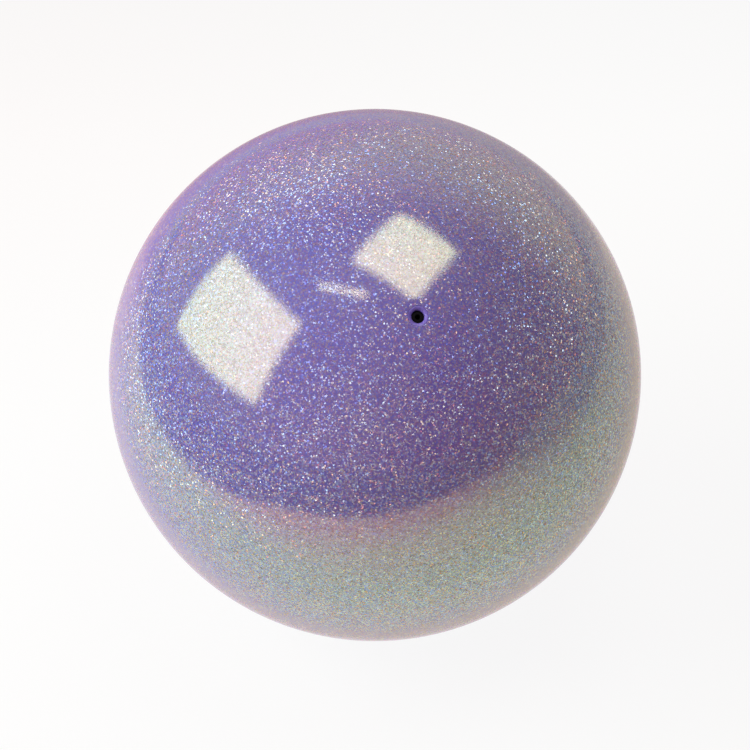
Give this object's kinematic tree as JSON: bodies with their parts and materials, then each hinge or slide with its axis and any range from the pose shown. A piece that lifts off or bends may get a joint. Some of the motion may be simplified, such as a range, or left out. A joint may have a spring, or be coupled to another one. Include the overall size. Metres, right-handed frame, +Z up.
{
  "type": "rhythmic gymnastics ball",
  "caption": "Round inflated ball with a glossy glitter skin, for throwing, rolling and balancing in rhythmic gymnastics, with a flush valve closed by a rubber plug that draws out.",
  "frame": {"origin": "middle of the flat patch that the ball rests on", "axes": "+Z up through the ball's centre, -Y towards the viewer of the picture, +X to the viewer's right; the valve leans from +Z towards -Y and a little towards +X"},
  "size_m": [0.185, 0.185, 0.184],
  "materials": {
    "glitter_skin": "clear gloss over fine silver-violet glitter",
    "ball_body": "smooth moulded lilac",
    "valve_bush": "smooth moulded lilac",
    "valve_plug": "satin black"
  },
  "bodies": {
    "ball": {"glitter_skin": "glitter_skin", "ball_body": "ball_body", "valve_bush": "valve_bush"},
    "plug": {"valve_plug": "valve_plug"}
  },
  "joints": [
    {"name": "plug_pull", "type": "slide", "parent": "ball", "child": "plug", "axis": [0.149, -0.6114, 0.7771], "range_m": [0, 0.02]}
  ]
}
